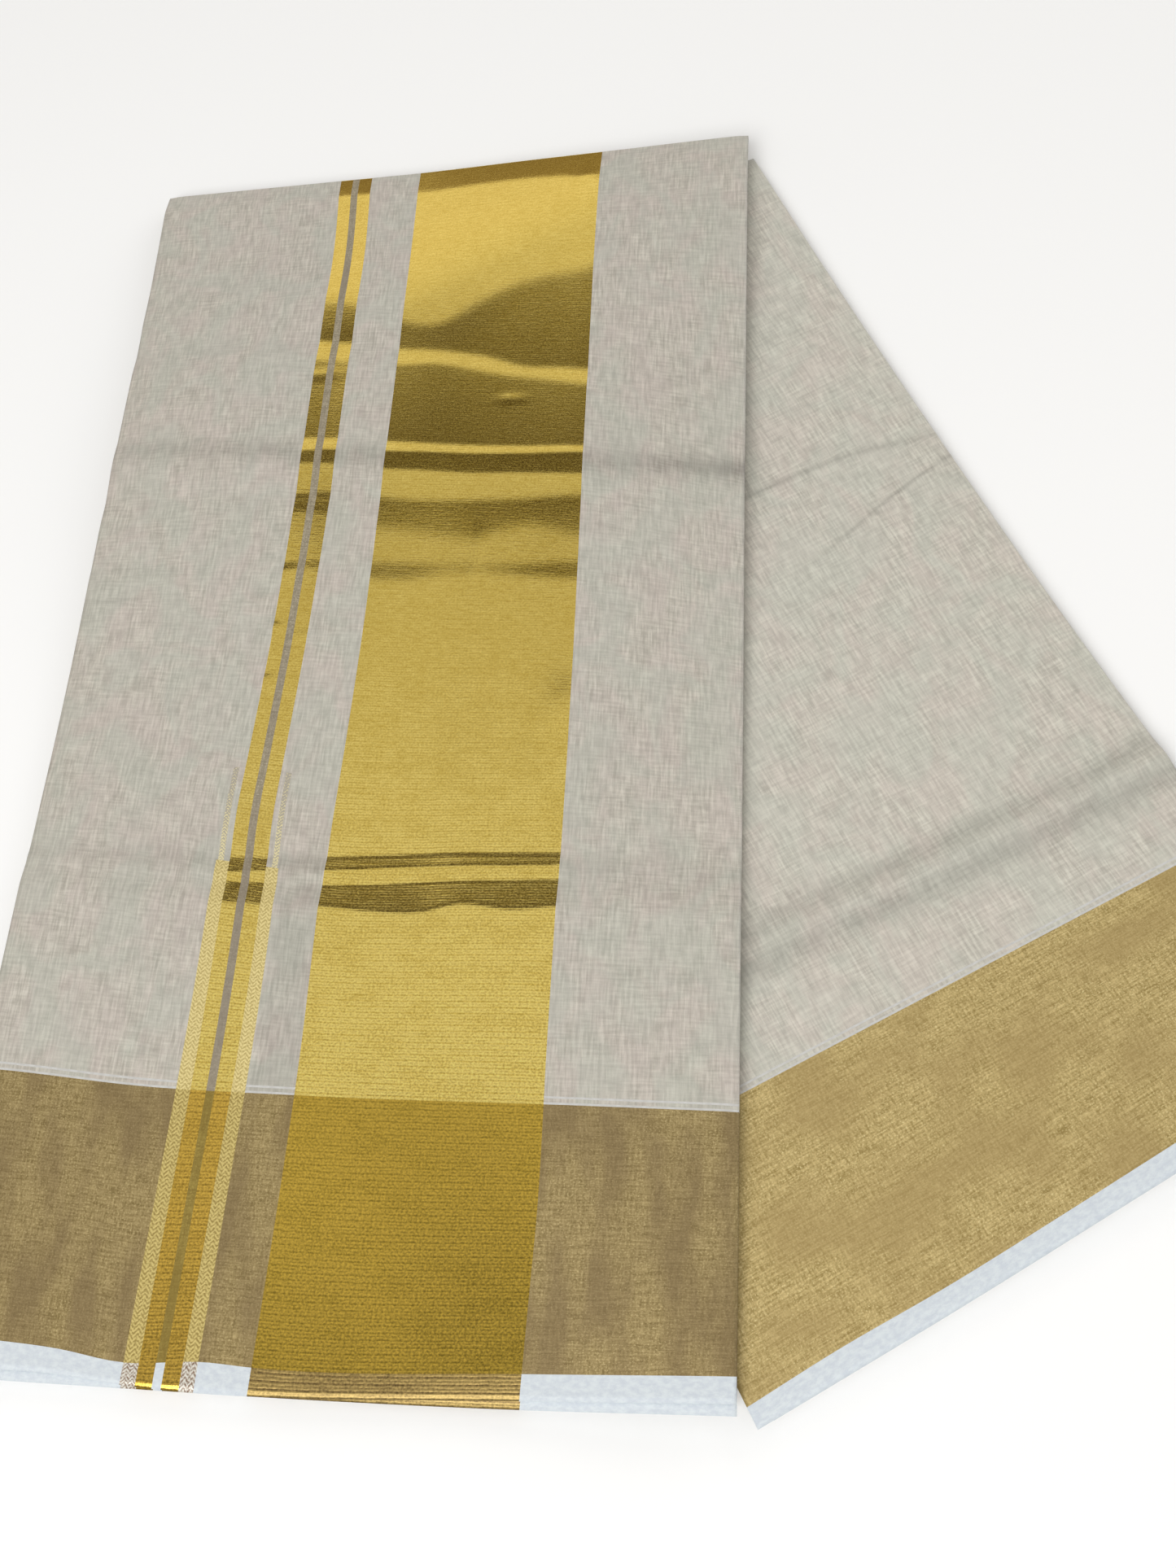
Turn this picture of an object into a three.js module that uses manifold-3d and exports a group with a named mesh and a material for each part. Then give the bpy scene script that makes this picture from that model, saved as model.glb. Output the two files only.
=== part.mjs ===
// Kasavu saree, folded in half across its width and then panel on panel along its length.
// The pallu stretch lies on top of the left stack. The panels below it are turned about the
// stack's top right corner, so they fan out to the right from under it.
// Millimetres, Z up. X runs along the saree's length and Y across its width. Y = 0 is the
// bottom selvedge and X = 0 is the right edge of the pallu stretch, until the last lines
// centre the whole.
import * as THREE from 'three';
import Module from 'manifold-3d';

const wasm = await Module();
wasm.setup();

// Thickness of one layer of cloth, of the air between two layers, and of the hidden layers.
const CLOTH = 1.1;
const AIR = 0.3;
const HIDDEN_LAYERS = 3.2;
const FOLD_RADIUS = (CLOTH + AIR) / 2;
const STACK = HIDDEN_LAYERS + 2 * CLOTH + 2 * AIR;

// The cloth's edges dip by EDGE_DIP over the last EDGE_REACH.
const EDGE_DIP = 0.5;
const EDGE_REACH = 6;

// Where the pallu stack runs off the fanned panels, it sinks to the floor over DRAPE_REACH.
const DRAPE_REACH = 100;

// The fanned panels: their bottom left corner, their turn, and their height to the top fold.
const FAN_CORNER = { x: 6.6, y: -6.1 };
const FAN_TURN = THREE.MathUtils.degToRad(28.7);
const FAN_LENGTH = 505;

// The room left for the fan in the pallu stack: air at its sides, and its start below floor.
const ROOM_SIDE = 1;
const ROOM_BELOW = 1;

// The fan's creases fade out as they pass under the pallu stack.
const FADE_FROM = 6;
const FADE_TO = 30;

// Edges and creases of the pallu stretch.
const PALLU_LEFT = [
  { y: 0, x: -302 },
  { y: 207, x: -299.5 },
  { y: 409, x: -299.5 },
  { y: 575, x: -303 },
];
const PALLU_RIGHT = [
  { y: 0, x: 0 },
  { y: 575, x: 0 },
];
const PALLU_BOTTOM = [
  { x: -303, y: 1.2 },
  { x: -243, y: 0.8 },
  { x: -219, y: -1.6 },
  { x: -74, y: -1.0 },
  { x: 0, y: 1.0 },
];
const PALLU_BACK_BOTTOM = [
  { x: -303, y: -1.4 },
  { x: -219, y: -2.7 },
  { x: -170, y: -3.4 },
  { x: -74, y: -3.6 },
  { x: 0, y: -2.6 },
];
const PALLU_TOP = [
  { x: -303, y: 573.5 },
  { x: -150, y: 575.5 },
  { x: 0, y: 574.5 },
];
const PALLU_LOW_CREASE = [
  { x: -303, y: 207 },
  { x: -213, y: 197 },
  { x: -166, y: 189 },
  { x: 0, y: 182 },
];
const PALLU_HIGH_CREASE = [
  { x: -303, y: 409 },
  { x: -165, y: 398 },
  { x: -70, y: 388 },
  { x: 0, y: 368 },
];

// Edges and creases of the fanned stretch, in its own turned frame.
const FAN_RIGHT = [
  { y: 12.8, x: 252 },
  { y: 140, x: 251.2 },
  { y: 240, x: 254.4 },
  { y: 322, x: 258.7 },
  { y: 418, x: 265 },
  { y: FAN_LENGTH, x: 271.8 },
];
const FAN_LEFT = [
  { y: 0, x: 0 },
  { y: FAN_LENGTH, x: 0 },
];
const FAN_BOTTOM = [
  { x: 0, y: 0 },
  { x: 84, y: 3.7 },
  { x: 162, y: 8.2 },
  { x: 252, y: 12.8 },
];
const FAN_TOP = [
  { x: 0, y: FAN_LENGTH },
  { x: 272, y: FAN_LENGTH },
];
const FAN_LOW_CREASE = [
  { x: 0, y: 150 },
  { x: 74, y: 147.8 },
  { x: 185, y: 142.1 },
  { x: 252, y: 140.3 },
];
const FAN_HIGH_CREASE = [
  { x: 0, y: 346 },
  { x: 173, y: 329.1 },
  { x: 221, y: 324.5 },
  { x: 257, y: 314.5 },
];

// Each crease's rise at its crest and how far it reaches to each side.
const PALLU_CREASES = [
  { line: PALLU_LOW_CREASE, rise: 1.2, reach: 11 },
  { line: PALLU_HIGH_CREASE, rise: 1.1, reach: 13 },
];
const FAN_CREASES = [
  { line: FAN_LOW_CREASE, rise: 1.5, reach: 13 },
  { line: FAN_HIGH_CREASE, rise: 0.7, reach: 9 },
];

// Stations across a crease, in parts of its reach.
const CREASE_STATIONS = [-1, -0.45, 0, 0.45, 1];

// Even rows before, between and after the two creases.
const PALLU_ROWS = [3, 3, 3];
const FAN_ROWS = [2, 3, 3];
const EVEN_COLUMNS = 8;
const FOLD_STEPS = 6;

// The row next to the selvedge, and how far inside an edge its fold starts.
const SELVEDGE_STEP = 5;
const FOLD_START = FOLD_RADIUS + CLOTH / 2;

// Side of a stack of hidden layers, from the floor up: the rise in parts of the whole, and
// how far the layers draw back there from the outline of the stretch above them.
const LAYERED_SIDE = [
  { rise: 0, back: 1.9 },
  { rise: 0.1, back: 1.2 },
  { rise: 0.28, back: 1.3 },
  { rise: 0.36, back: 2.3 },
  { rise: 0.46, back: 1.7 },
  { rise: 0.6, back: 1.8 },
  { rise: 0.68, back: 2.7 },
  { rise: 0.78, back: 1.5 },
  { rise: 0.92, back: 1.7 },
  { rise: 1, back: 2.8 },
];

const COLOURS = {
  pallu_stretch: 0xc4bdb2,
  pallu_folds: 0xb9b1a4,
  fan_stretch: 0xc6c0b3,
  fan_folds: 0xb7ae9d,
};

const mix = (from, to, part) => from + (to - from) * part;

function smooth(part) {
  const held = THREE.MathUtils.clamp(part, 0, 1);
  return held * held * (3 - 2 * held);
}

// Reads a table by its column `from`, straight between rows and level past its ends.
function read(table, from, to, value) {
  const next = table.findIndex((row) => row[from] >= value);
  if (next === 0) return table[0][to];
  if (next < 0) return table[table.length - 1][to];
  const low = table[next - 1];
  const high = table[next];
  return mix(low[to], high[to], (value - low[from]) / (high[from] - low[from]));
}

const heightOf = (table) => (x) => read(table, 'x', 'y', x);

// Fractions from 0 to 1 in even steps, with closer ones by each end, `steps` in from it.
function columnFractions(width, steps) {
  const close = steps.map((step) => step / width);
  const even = Array.from({ length: EVEN_COLUMNS - 1 }, (_, k) => (k + 1) / EVEN_COLUMNS);
  return [0, ...close, ...even, ...close.map((part) => 1 - part).reverse(), 1];
}

// Lines spread evenly between two lines that run across the stretch.
function evenLines(low, high, count) {
  return Array.from({ length: count }, (_, k) => (x) => mix(low(x), high(x), (k + 1) / (count + 1)));
}

// The rows of a stretch: its bottom edge, its two creases, its top, and even rows between.
function rowLines(bottom, creases, top, counts) {
  const first = (x) => bottom(x) + SELVEDGE_STEP;
  const last = (x) => top(x) - FOLD_START;
  const bands = creases.map(({ line, reach }) =>
    CREASE_STATIONS.map((part) => (x) => heightOf(line)(x) + part * reach));
  const [low, high] = bands;
  return [
    bottom,
    first,
    ...evenLines(first, low[0], counts[0]),
    ...low,
    ...evenLines(low[low.length - 1], high[0], counts[1]),
    ...high,
    ...evenLines(high[high.length - 1], last, counts[2]),
    last,
  ];
}

// Rise of the creases at a point: a crest with soft, hollow flanks.
function creaseRise(creases, x, y) {
  return creases.reduce((total, { line, rise, reach }) => {
    const off = Math.min(Math.abs(y - heightOf(line)(x)) / reach, 1);
    return total + rise * (1 - off) ** 2;
  }, 0);
}

// How far an edge has dipped at a distance inside it.
const edgeDip = (inside) => EDGE_DIP * (1 - smooth(inside / EDGE_REACH));

// A place in the fan's turned frame, from the pallu's frame, and its X back again.
function toFan(x, y) {
  const dx = x - FAN_CORNER.x;
  const dy = y - FAN_CORNER.y;
  return {
    x: dx * Math.cos(FAN_TURN) + dy * Math.sin(FAN_TURN),
    y: dy * Math.cos(FAN_TURN) - dx * Math.sin(FAN_TURN),
  };
}
const fromFanX = (x, y) => FAN_CORNER.x + x * Math.cos(FAN_TURN) - y * Math.sin(FAN_TURN);

// Top of the pallu stack: full over the fan, sinking to the floor beyond the fan's edges.
function palluTop(x, y) {
  const place = toFan(x, y);
  const beyond = Math.hypot(Math.max(-place.x, 0), Math.max(place.y - FAN_LENGTH, 0));
  const carried = 1 - smooth(beyond / DRAPE_REACH);
  const inside = Math.min(x - read(PALLU_LEFT, 'y', 'x', y), read(PALLU_RIGHT, 'y', 'x', y) - x);
  return STACK + (STACK + AIR) * carried + creaseRise(PALLU_CREASES, x, y) - edgeDip(inside);
}

// Top of the fanned stack, its creases pressed flat where the pallu stack lies on it.
function fanTop(x, y) {
  const shown = smooth((fromFanX(x, y) - FADE_FROM) / (FADE_TO - FADE_FROM));
  const inside = Math.min(y - heightOf(FAN_BOTTOM)(x), read(FAN_RIGHT, 'y', 'x', y) - x);
  return STACK + shown * creaseRise(FAN_CREASES, x, y) - edgeDip(inside);
}

// Collects corners and faces, and turns them into a geometry.
function meshBuilder() {
  const positions = [];
  const faces = [];
  return {
    corner(point) {
      positions.push(point.x, point.y, point.z);
      return positions.length / 3 - 1;
    },
    // Each four-sided face is split along the diagonal that rises with X and Y together, so
    // that layers on each other stay parallel.
    quad(a, b, c, d) {
      const rise = [0, 1].map((axis) => positions[3 * c + axis] - positions[3 * a + axis]);
      if (rise[0] * rise[1] >= 0) faces.push(a, b, c, a, c, d);
      else faces.push(a, b, d, b, c, d);
    },
    geometry() {
      const made = new THREE.BufferGeometry();
      made.setAttribute('position', new THREE.Float32BufferAttribute(positions, 3));
      made.setIndex(faces);
      made.computeVertexNormals();
      return made;
    },
  };
}

// The border of a grid of rows and columns, as [row, column], anticlockwise from above.
function gridBorder(rows, columns) {
  const border = [];
  for (let i = 0; i < columns - 1; i += 1) border.push([0, i]);
  for (let j = 0; j < rows - 1; j += 1) border.push([j, columns - 1]);
  for (let i = columns - 1; i > 0; i -= 1) border.push([rows - 1, i]);
  for (let j = rows - 1; j > 0; j -= 1) border.push([j, 0]);
  return border;
}

function gridFaces(builder, grid, up) {
  for (let j = 0; j < grid.length - 1; j += 1) {
    for (let i = 0; i < grid[0].length - 1; i += 1) {
      const corners = [grid[j][i], grid[j][i + 1], grid[j + 1][i + 1], grid[j + 1][i]];
      if (up) builder.quad(...corners);
      else builder.quad(corners[0], corners[3], corners[2], corners[1]);
    }
  }
}

// A wall of cloth about a grid of middle points: two faces and the rim that joins them.
function wallGeometry(middle) {
  const rows = middle.length;
  const columns = middle[0].length;
  const builder = meshBuilder();
  const outward = middle.map((row, j) => row.map((_, i) => {
    const across = row[Math.min(i + 1, columns - 1)].clone().sub(row[Math.max(i - 1, 0)]);
    const along = middle[Math.min(j + 1, rows - 1)][i].clone().sub(middle[Math.max(j - 1, 0)][i]);
    return across.cross(along).normalize();
  }));
  const face = (side) => middle.map((row, j) => row.map((point, i) =>
    builder.corner(point.clone().addScaledVector(outward[j][i], side * CLOTH / 2))));
  const outer = face(1);
  const inner = face(-1);
  gridFaces(builder, outer, true);
  gridFaces(builder, inner, false);
  const border = gridBorder(rows, columns);
  border.forEach(([j, i], k) => {
    const [nextJ, nextI] = border[(k + 1) % border.length];
    builder.quad(outer[nextJ][nextI], outer[j][i], inner[j][i], inner[nextJ][nextI]);
  });
  return builder.geometry();
}

// A stack of hidden layers: flat below, `top` above, with the layered side all round.
function layersGeometry(rows, columns, place, top) {
  const builder = meshBuilder();
  const corner = (j, i, { rise, back }) => {
    const point = place(j, i, back);
    return builder.corner({ x: point.x, y: point.y, z: rise * top(point.x, point.y) });
  };
  const lowest = LAYERED_SIDE[0];
  const highest = LAYERED_SIDE[LAYERED_SIDE.length - 1];
  const grid = (level) => Array.from({ length: rows }, (_, j) =>
    Array.from({ length: columns }, (_, i) => corner(j, i, level)));
  const floor = grid(lowest);
  const roof = grid(highest);
  gridFaces(builder, floor, false);
  gridFaces(builder, roof, true);
  const border = gridBorder(rows, columns);
  const rings = [
    border.map(([j, i]) => floor[j][i]),
    ...LAYERED_SIDE.slice(1, -1).map((level) => border.map(([j, i]) => corner(j, i, level))),
    border.map(([j, i]) => roof[j][i]),
  ];
  for (let level = 0; level < rings.length - 1; level += 1) {
    border.forEach((_, k) => {
      const next = (k + 1) % border.length;
      builder.quad(rings[level][k], rings[level][next], rings[level + 1][next], rings[level + 1][k]);
    });
  }
  return builder.geometry();
}

// Places a row and a column in a stretch's outline, with its edges drawn back by `back`.
function outlinePlace(lines, fractions, left, right, top) {
  const bottom = lines[0];
  return (j, i, back) => {
    const flat = lines[j]((left[0].x + right[0].x) / 2);
    const from = read(left, 'y', 'x', flat);
    const to = read(right, 'y', 'x', flat);
    const x = THREE.MathUtils.clamp(mix(from, to, fractions[i]), from + back, to - back);
    const y = THREE.MathUtils.clamp(lines[j](x), bottom(x) + back, top(x) - back);
    return { x, y };
  };
}

// The half circle of a fold, from its upper layer round to its lower one.
const foldAngles = Array.from({ length: FOLD_STEPS - 1 }, (_, k) =>
  Math.PI / 2 - Math.PI * (k + 1) / FOLD_STEPS);

// A stretch's grid: its rows, and the places of its cloth and of the hidden layers below.
function stretchGrid({ bottom, top, left, right, creases, rows }) {
  const lines = rowLines(heightOf(bottom), creases, heightOf(top), rows);
  const width = right[0].x - left[0].x;
  const cloth = columnFractions(width, [FOLD_START, EDGE_REACH]);
  const hidden = columnFractions(width, [EDGE_REACH]);
  return {
    lines,
    columns: cloth.length,
    place: outlinePlace(lines, cloth, left, right, heightOf(top)),
    hiddenColumns: hidden.length,
    hiddenPlace: outlinePlace(lines, hidden, left, right, heightOf(top)),
  };
}

const palluGrid = stretchGrid({
  bottom: PALLU_BOTTOM,
  top: PALLU_TOP,
  left: PALLU_LEFT,
  right: PALLU_RIGHT,
  creases: PALLU_CREASES,
  rows: PALLU_ROWS,
});
const fanGrid = stretchGrid({
  bottom: FAN_BOTTOM,
  top: FAN_TOP,
  left: FAN_LEFT,
  right: FAN_RIGHT,
  creases: FAN_CREASES,
  rows: FAN_ROWS,
});

// One layer of a stretch as rows of middle points, `drop` below its uppermost layer.
function clothLayer(grid, top, drop) {
  return grid.lines.map((_, j) => Array.from({ length: grid.columns }, (__, i) => {
    const { x, y } = grid.place(j, i, 0);
    return new THREE.Vector3(x, y, top(x, y) - CLOTH / 2 - drop);
  }));
}

// The half circle of a fold under `start`, turning out along the axis named.
function foldPoints(start, axis) {
  return foldAngles.map((angle) => {
    const point = start.clone();
    point[axis] += FOLD_RADIUS * Math.cos(angle);
    point.z += FOLD_RADIUS * (Math.sin(angle) - 1);
    return point;
  });
}

// The pallu stretch: its front half, the fold at the top, and its back half below.
function palluStretch() {
  const front = clothLayer(palluGrid, palluTop, 0);
  const back = clothLayer(palluGrid, palluTop, 2 * FOLD_RADIUS);
  back[0].forEach((point) => {
    point.y = read(PALLU_BACK_BOTTOM, 'x', 'y', point.x);
  });
  const folds = front[front.length - 1].map((start) => foldPoints(start, 'y'));
  const foldRows = foldAngles.map((_, step) => folds.map((points) => points[step]));
  return wallGeometry([...front, ...foldRows, ...back.reverse()]);
}

// The fanned stretch: its upper panel, the fold at its right edge, and the panel below.
function fanStretch() {
  const lower = clothLayer(fanGrid, fanTop, 2 * FOLD_RADIUS);
  return wallGeometry(clothLayer(fanGrid, fanTop, 0).map((row, j) => {
    const upper = row.slice(0, -1);
    const start = upper[upper.length - 1];
    return [...upper, ...foldPoints(start, 'x'), ...lower[j].slice(0, -1).reverse()];
  }));
}

// The hidden layers under a stretch fill the stack up to the air below its cloth.
function hiddenFolds(grid, top) {
  return layersGeometry(grid.lines.length, grid.hiddenColumns, grid.hiddenPlace,
    (x, y) => top(x, y) - (STACK - HIDDEN_LAYERS));
}

// The room that the fanned stack takes under the pallu stack, with air all round it.
function fanRoom() {
  const outline = new THREE.Shape([
    ...FAN_BOTTOM.map(({ x, y }) => new THREE.Vector2(x, y - ROOM_SIDE)),
    ...FAN_RIGHT.map(({ x, y }) => new THREE.Vector2(x + ROOM_SIDE, y + ROOM_SIDE)),
    new THREE.Vector2(-ROOM_SIDE, FAN_LENGTH + ROOM_SIDE),
    new THREE.Vector2(-ROOM_SIDE, -ROOM_SIDE),
  ]);
  const depth = ROOM_BELOW + STACK + AIR;
  const room = new THREE.ExtrudeGeometry(outline, { depth, bevelEnabled: false });
  room.translate(0, 0, -ROOM_BELOW);
  room.rotateZ(FAN_TURN);
  room.translate(FAN_CORNER.x, FAN_CORNER.y, 0);
  return room;
}

function toSolid(geometry) {
  const positions = geometry.getAttribute('position').array;
  const index = geometry.index
    ? geometry.index.array
    : Array.from({ length: positions.length / 3 }, (_, k) => k);
  const mesh = new wasm.Mesh({
    numProp: 3,
    vertProperties: new Float32Array(positions),
    triVerts: new Uint32Array(index),
  });
  mesh.merge();
  return new wasm.Manifold(mesh);
}

function fromSolid(solid) {
  const { vertProperties, triVerts } = solid.getMesh();
  const made = new THREE.BufferGeometry();
  made.setAttribute('position', new THREE.BufferAttribute(vertProperties, 3));
  made.setIndex(new THREE.BufferAttribute(triVerts, 1));
  made.computeVertexNormals();
  return made;
}

function clothMesh(name, geometry) {
  const material = new THREE.MeshStandardMaterial({
    color: COLOURS[name],
    roughness: 0.75,
    metalness: 0.1,
    side: THREE.DoubleSide,
  });
  const mesh = new THREE.Mesh(geometry, material);
  mesh.name = name;
  return mesh;
}

// The hidden layers of the pallu stack, which lie on the fan and beside it.
function palluFolds() {
  const whole = toSolid(hiddenFolds(palluGrid, palluTop));
  return fromSolid(whole.subtract(toSolid(fanRoom())));
}

const pallu = new THREE.Group();
pallu.add(
  clothMesh('pallu_stretch', palluStretch()),
  clothMesh('pallu_folds', palluFolds()),
);

const fan = new THREE.Group();
fan.position.set(FAN_CORNER.x, FAN_CORNER.y, 0);
fan.rotation.z = FAN_TURN;
fan.add(
  clothMesh('fan_stretch', fanStretch()),
  clothMesh('fan_folds', hiddenFolds(fanGrid, fanTop)),
);

const saree = new THREE.Group();
saree.add(pallu, fan);

// The origin is on the floor, under the middle of the whole.
saree.updateMatrixWorld(true);
const middle = new THREE.Box3().setFromObject(saree, true).getCenter(new THREE.Vector3());
saree.position.set(-middle.x, -middle.y, 0);

export default saree;
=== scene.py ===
import bpy
import numpy as np
from mathutils import Matrix, Vector


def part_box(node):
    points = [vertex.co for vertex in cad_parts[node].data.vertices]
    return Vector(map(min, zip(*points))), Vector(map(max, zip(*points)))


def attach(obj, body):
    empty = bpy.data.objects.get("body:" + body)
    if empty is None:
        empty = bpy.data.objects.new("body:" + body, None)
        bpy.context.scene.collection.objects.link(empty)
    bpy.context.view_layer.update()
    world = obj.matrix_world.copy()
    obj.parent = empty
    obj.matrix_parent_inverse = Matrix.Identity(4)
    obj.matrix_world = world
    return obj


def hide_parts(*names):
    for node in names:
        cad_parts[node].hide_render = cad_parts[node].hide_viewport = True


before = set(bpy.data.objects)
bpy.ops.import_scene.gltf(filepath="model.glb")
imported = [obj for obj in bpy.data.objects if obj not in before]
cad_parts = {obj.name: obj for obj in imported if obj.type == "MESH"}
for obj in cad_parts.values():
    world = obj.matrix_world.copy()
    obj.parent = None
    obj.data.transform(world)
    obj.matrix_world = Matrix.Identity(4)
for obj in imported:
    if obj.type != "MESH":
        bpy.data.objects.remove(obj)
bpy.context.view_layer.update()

# The viewpoint. The saree lies on a floor, and the camera looks down on it from over its bottom
# edge, a little to the right, through a short lens. Lengths here are millimetres in the cloth's
# own frame: X along the saree's length, Y across its width, from the pallu's bottom right corner.
MM = 0.001
PALLU_LEFT_EDGE = -303.0
PALLU_TOP_EDGE = 575.5
EYE = (38.4, -27.4, 545.4)
VIEW_RIGHT = Vector((0.98589, 0.05172, -0.15921))
VIEW_UP = Vector((0.02150, 0.90408, 0.42683))
LENS_MM = 34.645
SENSOR_MM = 36.0

pallu_low, pallu_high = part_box("pallu_stretch")
cloth_origin = np.array([pallu_low.x - PALLU_LEFT_EDGE * MM, pallu_high.y - PALLU_TOP_EDGE * MM, 0.0])


def placed(points):
    """Points of the cloth's frame, in millimetres, as places of the model, in metres."""
    return np.asarray(points, float) * MM + cloth_origin


lens = bpy.data.cameras.new("viewpoint")
lens.lens = LENS_MM
lens.sensor_width = SENSOR_MM
lens.clip_start = 0.01
camera = bpy.data.objects.new("viewpoint", lens)
turn = Matrix((VIEW_RIGHT, VIEW_UP, VIEW_RIGHT.cross(VIEW_UP))).transposed()
camera.matrix_world = Matrix.Translation(placed(EYE)) @ turn.to_4x4()
bpy.context.scene.collection.objects.link(camera)
bpy.context.scene.camera = camera


# The hidden panels of the fan. The saree's fine cotton tissue is folded in half across its width
# and laid panel on panel, so each panel is a flat pair of layers with folds at its sides and top.
# They show only at the pile's edges. The lowest panels come first, as the cloth is laid.
CLOTH = 0.42
FOLD_RADIUS = 0.92
STACK = 6.0
PANELS = 4
PANEL_HEIGHT = 0.86
PANEL_PITCH = 1.0
PANEL_LIFT = 0.1
PANEL_BACK = 2.0
PANEL_WALL = 0.3
PANEL_WANDER = 0.5
TOP_CLOSES_FROM = 0.985
EDGE_DIP = 0.5
EDGE_REACH = 6.0
FAN_CORNER = (6.6, -6.1)
FAN_TURN = np.radians(28.7)
FAN_LENGTH = 505.0
FAN_WIDTH = 252.0
CREASES_SHOW_FROM = 6.0
CREASES_SHOW_TO = 30.0


def line_through(*points):
    """A smooth line through points given in order of their first number."""
    at, height = np.array(points, float).T
    slope = np.gradient(height, at)

    def line(place):
        place = np.clip(place, at[0], at[-1])
        k = np.clip(np.searchsorted(at, place) - 1, 0, len(at) - 2)
        gap = at[k + 1] - at[k]
        t = (place - at[k]) / gap
        ends = (1 + 2 * t) * (1 - t) ** 2 * height[k] + t * t * (3 - 2 * t) * height[k + 1]
        return ends + t * (1 - t) * gap * ((1 - t) * slope[k] - t * slope[k + 1])

    return line


def smooth(part):
    held = np.clip(part, 0, 1)
    return held * held * (3 - 2 * held)


def spread(stops, steps):
    """Values from the first stop to the last, about steps[k] apart between stops k and k + 1."""
    runs = [
        np.linspace(low, high, max(1, round((high - low) / step)), endpoint=False)
        for low, high, step in zip(stops, stops[1:], steps)
    ]
    return np.append(np.concatenate(runs), stops[-1])


def between(flat, lines, at, values):
    """Where the flat values lie at each place `at`, between the lines that the flat stops follow."""
    guides = np.array([line(at) for line in lines])
    return np.array([np.interp(values, flat, column) for column in guides.T]).T


def grid_places(flat_x, x_lines, flat_y, y_lines, x_values, y_values):
    """X and Y of a woven grid whose columns and rows follow the measured lines of the cloth."""
    x = between(flat_x, x_lines, y_values, x_values).T
    guides = np.array([line(x) for line in y_lines])
    level = np.clip(np.searchsorted(flat_y, y_values) - 1, 0, len(flat_y) - 2)
    stops = np.array(flat_y, float)
    part = ((y_values - stops[level]) / (stops[level + 1] - stops[level]))[:, None]
    each = np.arange(len(y_values))
    return x, guides[level, each] * (1 - part) + guides[level + 1, each] * part


def linear(code):
    """An sRGB hex colour as linear red, green, blue and alpha."""
    parts = [int(code[k:k + 2], 16) / 255 for k in (1, 3, 5)]
    return (*[p / 12.92 if p <= 0.04045 else ((p + 0.055) / 1.055) ** 2.4 for p in parts], 1.0)


def node(tree, kind, inputs=(), **settings):
    """Adds a node. An input that is another node's socket is linked, and any other is set."""
    made = tree.nodes.new(kind)
    for name, value in settings.items():
        setattr(made, name, value)
    for key, value in dict(inputs).items():
        if isinstance(value, bpy.types.NodeSocket):
            tree.links.new(value, made.inputs[key])
        else:
            made.inputs[key].default_value = value
    return made


def new_material(name, **shader_values):
    """A material with one Principled shader, its values set, and its tree."""
    material = bpy.data.materials.new(name)
    material.use_nodes = True
    shader = material.node_tree.nodes["Principled BSDF"]
    for key, value in shader_values.items():
        shader.inputs[key.replace("_", " ")].default_value = value
    return material, material.node_tree, shader


def thread_places(tree, across=1.0, along=1.0):
    """The cloth's own millimetres, scaled by `across` in X and `along` in Y."""
    uv = node(tree, "ShaderNodeUVMap", uv_map="cloth")
    return node(tree, "ShaderNodeMapping", {"Vector": uv.outputs[0],
                                            "Scale": (across / MM, along / MM, 1.0)}).outputs[0]


def noise(tree, across, along, detail=2.0, roughness=0.5, distortion=0.0):
    """Noise whose blotches are about this many millimetres across and along the cloth."""
    places = thread_places(tree, 1 / across, 1 / along)
    return node(tree, "ShaderNodeTexNoise",
                {"Vector": places, "Scale": 1.0, "Detail": detail, "Roughness": roughness,
                 "Distortion": distortion}, noise_dimensions="2D").outputs["Fac"]


def sharpened(tree, value, low, high, to_low=0.0, to_high=1.0):
    return node(tree, "ShaderNodeMapRange",
                {"Value": value, "From Min": low, "From Max": high,
                 "To Min": to_low, "To Max": to_high}).outputs["Result"]


def mixed(tree, part, first, second):
    """Two colours, or their sockets, mixed by a factor socket."""
    mix = node(tree, "ShaderNodeMix", data_type="RGBA")
    for socket, value in ((mix.inputs[0], part), (mix.inputs[6], first), (mix.inputs[7], second)):
        if isinstance(value, bpy.types.NodeSocket):
            tree.links.new(value, socket)
        else:
            socket.default_value = value
    return mix.outputs[2]


def summed(tree, first, second, operation="ADD"):
    return node(tree, "ShaderNodeMath", {0: first, 1: second}, operation=operation).outputs[0]


def woven_bump(tree, shader, height, millimetres):
    """Raises the threads of a weave by this height where `height` is 1."""
    bump = node(tree, "ShaderNodeBump", {"Height": height, "Distance": millimetres * MM})
    tree.links.new(bump.outputs[0], shader.inputs["Normal"])


# Cotton tissue: cream cotton one way and a fine gilt thread the other. It is sheer and dry, with
# slubs along the threads and soft pink and green casts. The threads lie 0.3 mm apart, which is
# too fine to show, so they are drawn 1.1 mm apart. Along its creases the colour is mixed towards
# the near-black below: painted shade.
PAINTED_CREASE_SHADE_COLOUR = "#3A362F"


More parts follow.
